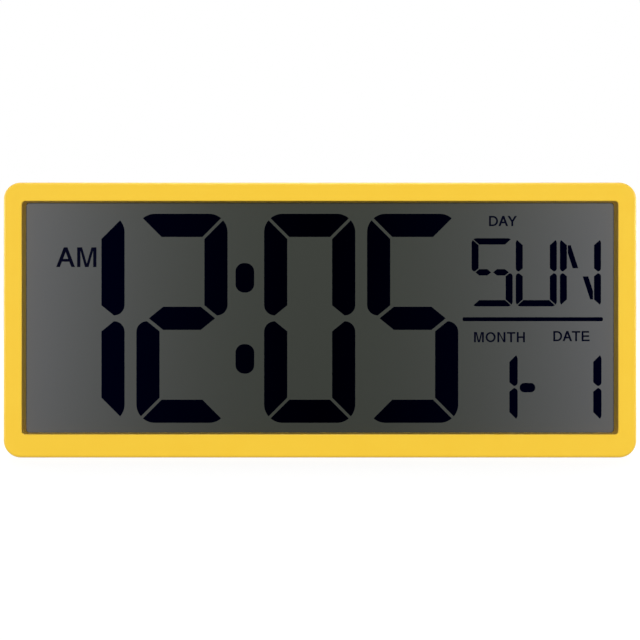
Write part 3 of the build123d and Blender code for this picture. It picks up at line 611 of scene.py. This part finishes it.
class CLOCK_OT_mark_cover(bpy.types.Operator):
    """Print the buttons' labels in their pocket and an arrow to the battery door's latch"""
    bl_idname = "clock.mark_cover"
    bl_label = "Cover marks"

    def execute(self, context):
        marks = context.scene.clock_marks
        # Pad-printed ink: thin, matt and pale, a little uneven over the grain.
        ink = coated("pad-printed ink, pale", rgba(context.scene.clock_finish.mark_colour), 0.6, 0.5)
        y = POCKET_FLOOR_Y + marks.ink_gap + marks.ink_thickness / 2
        for button, (text, share) in BUTTON_LABELS.items():
            low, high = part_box(button)
            name, middle = button + "_label", (low + high) / 2
            mesh = label_mesh(name, text, share * marks.button_label_size, marks.button_label_weight,
                              marks.ink_thickness)
            add_piece(name, mesh, (middle.x, y, middle.z - marks.button_label_drop), ink, "case")
        low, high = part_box("battery_door")
        place = ((low.x + high.x) / 2, high.y + marks.ink_gap, high.z - marks.arrow_drop)
        mesh = arrow_mesh("door_arrow", marks.arrow_width, marks.ink_thickness)
        add_piece("door_arrow", mesh, place, ink, "battery_door")
        return {"FINISHED"}


class CLOCK_OT_dress_buttons(bpy.types.Operator):
    """Give the buttons and their switches their plastics"""
    bl_idname = "clock.dress_buttons"
    bl_label = "Buttons"

    def execute(self, context):
        grey = context.scene.clock_finish.button_colour
        dress(moulded_abs("ABS, satin grey", rgba(grey), rgba(grey, 0.92), roughness=0.42, grain_mm=0.4),
              *BUTTON_LABELS)
        # Moulded nylon: dense black with a soft, waxy gloss.
        dress(coated("nylon, black", linear("#161616"), 0.45, 0.4),
              "switch_bodies", *nodes_ending("_plunger"))
        return {"FINISHED"}


class CLOCK_OT_dress_electronics(bpy.types.Operator):
    """Give the circuit board and its parts their looks"""
    bl_idname = "clock.dress_electronics"
    bl_label = "Electronics"

    def execute(self, context):
        # Solder mask: glossy green lacquer over woven glass, uneven in depth of colour.
        dress(coated("solder mask, green", rgba(context.scene.clock_finish.board_colour), 0.35, 1.2),
              "main_board")
        # Resin poured over the chip: a wet-looking black drop with soft ripples.
        dress(coated("cured black resin", linear("#0C0C0C"), 0.15, 2.5, depth_mm=0.05), "chip_blob")
        # Shrunk sleeve: smooth and glossy, stretched tight over the can.
        dress(coated("vinyl sleeve, navy", linear("#1B2740"), 0.25, 1.0), "capacitor")
        dress(plated("nickel-plated can", "#C3C4C2", 0.28, 0.5), "quartz_crystal")
        return {"FINISHED"}


class CLOCK_OT_dress_battery_bay(bpy.types.Operator):
    """Give the cells, contacts and leads their looks"""
    bl_idname = "clock.dress_battery_bay"
    bl_label = "Battery bay"

    def execute(self, context):
        finish = context.scene.clock_finish
        jacket, pale = rgba(finish.jacket_colour), rgba(finish.band_colour)
        for name, plus_corner in (("upper_cell", 1), ("lower_cell", 0)):
            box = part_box(name)
            length = box[1].x - box[0].x
            dress(cell_jacket(f"printed jacket, {name}", jacket, pale, box[plus_corner].x, length), name)
        dress(plated("nickel-plated spring steel", "#C3C4C2", 0.3, 0.5), *nodes_ending("_contact"))
        # Soft vinyl: smooth, with the low gloss of a drawn skin.
        dress(coated("vinyl, red", linear("#B3261E"), 0.4, 0.8), "red_lead")
        dress(coated("vinyl, black", linear("#151515"), 0.4, 0.8), "black_lead")
        return {"FINISHED"}


class CLOCK_OT_dress_fasteners(bpy.types.Operator):
    """Give the screws and the hinge pin their metals"""
    bl_idname = "clock.dress_fasteners"
    bl_label = "Screws and pin"

    def execute(self, context):
        dress(plated("zinc-plated steel", "#8D8F92", 0.36, 0.4), *nodes_ending("_screws"))
        dress(plated("drawn steel wire", "#A7A9AB", 0.25, 0.3), "stand_pin")
        return {"FINISHED"}


# Each lamp's name, place and size in metres, the setting with its power, and what it shows in.
LAMPS = (
    ("front lamp", (0, -10.0, 0.5), 0.8, "front_power", "diffuse"),
    ("back lamp, left", (-1.1, 1.2, 0.7), 0.8, "back_power", "diffuse"),
    ("back lamp, right", (1.1, 1.2, 0.7), 0.8, "back_power", "diffuse"),
    ("side lamp, left", (-1.4, 0.22, 0.25), 0.3, "side_power", "diffuse and gloss"),
    ("side lamp, right", (1.4, 0.22, 0.25), 0.3, "side_power", "diffuse and gloss"),
    ("top lamp", (0, 0.35, 1.2), 0.8, "top_power", "diffuse and gloss"),
    ("edge lamp, top", (0, -0.45, 1.35), 0.8, "edge_power", "gloss"),
    ("edge lamp, left", (-1.35, -0.45, 0.1), 0.8, "edge_power", "gloss"),
    ("edge lamp, right", (1.35, -0.45, 0.1), 0.8, "edge_power", "gloss"),
)
FLOOR_HALF = 6.0  # metres from the middle to each side
FLOOR_GAP = 0.2 * MM  # below the clock
FLOOR_WHITE = 1.15  # strength of the floor's plain white
SENSOR_WIDTH = 36  # millimetres


def seen_directly(tree):
    """1 for rays of the camera, of gloss and of glass, which show the background as it is."""
    rays = add(tree, "ShaderNodeLightPath").outputs
    seen = add(tree, "ShaderNodeMath", {0: rays["Is Camera Ray"], 1: rays["Is Glossy Ray"]},
               operation="MAXIMUM").outputs[0]
    return add(tree, "ShaderNodeMath", {0: seen, 1: rays["Is Transmission Ray"]},
               operation="MAXIMUM").outputs[0]


class CLOCK_OT_set_stage(bpy.types.Operator):
    """Set the floor, the white surround, the lamps and the camera"""
    bl_idname = "clock.set_stage"
    bl_label = "Stage"

    def execute(self, context):
        scene, stage = context.scene, context.scene.clock_stage
        scene.view_settings.view_transform = "Standard"
        self.set_surround(scene, stage)
        self.lay_floor(scene, stage)
        for name, place, size, power, shows_in in LAMPS:
            self.hang_lamp(scene, name, place, size, getattr(stage, power), shows_in)
        lens = bpy.data.cameras.new("camera")
        lens.sensor_width = SENSOR_WIDTH
        lens.lens = stage.camera_lens
        camera = bpy.data.objects.new("camera", lens)
        camera.location = (0, CAD_BOX[0][1] - stage.camera_distance, 0)
        camera.rotation_euler = (radians(90), 0, 0)
        scene.collection.objects.link(camera)
        scene.camera = camera
        return {"FINISHED"}

    def hang_lamp(self, scene, name, place, size, power, shows_in):
        """A square soft lamp aimed at the clock, which the camera doesn't see."""
        light = bpy.data.lights.new(name, "AREA")
        light.shape = "SQUARE"
        light.size = size
        light.energy = power
        lamp = bpy.data.objects.new(name, light)
        lamp.location = place
        lamp.rotation_euler = (-Vector(place)).to_track_quat("-Z", "Y").to_euler()
        lamp.visible_camera = False
        lamp.visible_diffuse = "diffuse" in shows_in
        lamp.visible_glossy = "gloss" in shows_in
        scene.collection.objects.link(lamp)

    def set_surround(self, scene, stage):
        """White where it is seen, and a weak soft light elsewhere."""
        world = bpy.data.worlds.new("white surround")
        world.use_nodes = True
        tree = world.node_tree
        white = {"Color": (1, 1, 1, 1), "Strength": 1.0}
        seen = add(tree, "ShaderNodeBackground", white)
        unseen = add(tree, "ShaderNodeBackground", {**white, "Strength": stage.surround})
        mix = add(tree, "ShaderNodeMixShader", {0: seen_directly(tree), 1: unseen.outputs[0],
                                                2: seen.outputs[0]})
        tree.links.new(mix.outputs[0], tree.nodes["World Output"].inputs["Surface"])
        scene.world = world

    def lay_floor(self, scene, stage):
        """A pale floor that looks white and keeps the clock's shadow."""
        material, tree, shader, place = start_material("pale studio floor", Roughness=0.9)
        seen, pale = seen_directly(tree), stage.floor_colour
        colour = add(tree, "ShaderNodeMix", {FACTOR: seen, FIRST: rgba(pale, stage.floor_bounce),
                                             SECOND: rgba(pale)}, data_type="RGBA")
        tree.links.new(colour.outputs[MIXED], shader.inputs["Base Color"])
        glow = add(tree, "ShaderNodeEmission", {"Strength": FLOOR_WHITE})
        away = add(tree, "ShaderNodeVectorMath", {0: place}, operation="LENGTH").outputs["Value"]
        fade = add(tree, "ShaderNodeMapRange", {"Value": away, "From Min": stage.floor_near,
                                                "From Max": stage.floor_far,
                                                "To Min": stage.floor_glow})
        share = add(tree, "ShaderNodeMath", {0: seen, 1: fade.outputs["Result"]}, operation="MULTIPLY")
        mix = add(tree, "ShaderNodeMixShader", {0: share.outputs[0], 1: shader.outputs[0],
                                                2: glow.outputs[0]})
        tree.links.new(mix.outputs[0], tree.nodes["Material Output"].inputs["Surface"])
        shape = bmesh.new()
        bmesh.ops.create_grid(shape, x_segments=1, y_segments=1, size=FLOOR_HALF)
        bmesh.ops.translate(shape, verts=shape.verts, vec=(0, 0, CAD_BOX[0][2] - FLOOR_GAP))
        mesh = bpy.data.meshes.new("floor")
        shape.to_mesh(mesh)
        shape.free()
        mesh.materials.append(material)
        floor = bpy.data.objects.new("floor", mesh)
        scene.collection.objects.link(floor)


STEPS = (CLOCK_OT_dress_case, CLOCK_OT_dress_display, CLOCK_OT_add_words, CLOCK_OT_mark_cover,
         CLOCK_OT_dress_buttons, CLOCK_OT_dress_electronics, CLOCK_OT_dress_battery_bay,
         CLOCK_OT_dress_fasteners, CLOCK_OT_set_stage)
GROUPS = (("clock_finish", ClockFinish), ("clock_marks", ClockMarks), ("clock_stage", ClockStage))


class CLOCK_PT_panel(bpy.types.Panel):
    """Lists the clock's settings and steps"""
    bl_idname = "CLOCK_PT_panel"
    bl_label = "Digital wall clock"
    bl_space_type = "VIEW_3D"
    bl_region_type = "UI"
    bl_category = "Clock"

    def draw(self, context):
        for name, group in GROUPS:
            box = self.layout.box()
            for setting in group.__annotations__:
                box.prop(getattr(context.scene, name), setting)
        for step in STEPS:
            self.layout.operator(step.bl_idname)


def register():
    for name, group in GROUPS:
        bpy.utils.register_class(group)
        setattr(bpy.types.Scene, name, PointerProperty(type=group))
    for step in (*STEPS, CLOCK_PT_panel):
        bpy.utils.register_class(step)


def unregister():
    for step in (CLOCK_PT_panel, *reversed(STEPS)):
        bpy.utils.unregister_class(step)
    for name, group in reversed(GROUPS):
        delattr(bpy.types.Scene, name)
        bpy.utils.unregister_class(group)


def main():
    """Dress the clock and set the stage."""
    register()
    bpy.ops.clock.dress_case()
    bpy.ops.clock.dress_display()
    bpy.ops.clock.add_words()
    bpy.ops.clock.mark_cover()
    bpy.ops.clock.dress_buttons()
    bpy.ops.clock.dress_electronics()
    bpy.ops.clock.dress_battery_bay()
    bpy.ops.clock.dress_fasteners()
    bpy.ops.clock.set_stage()


if __name__ == "__main__":
    main()
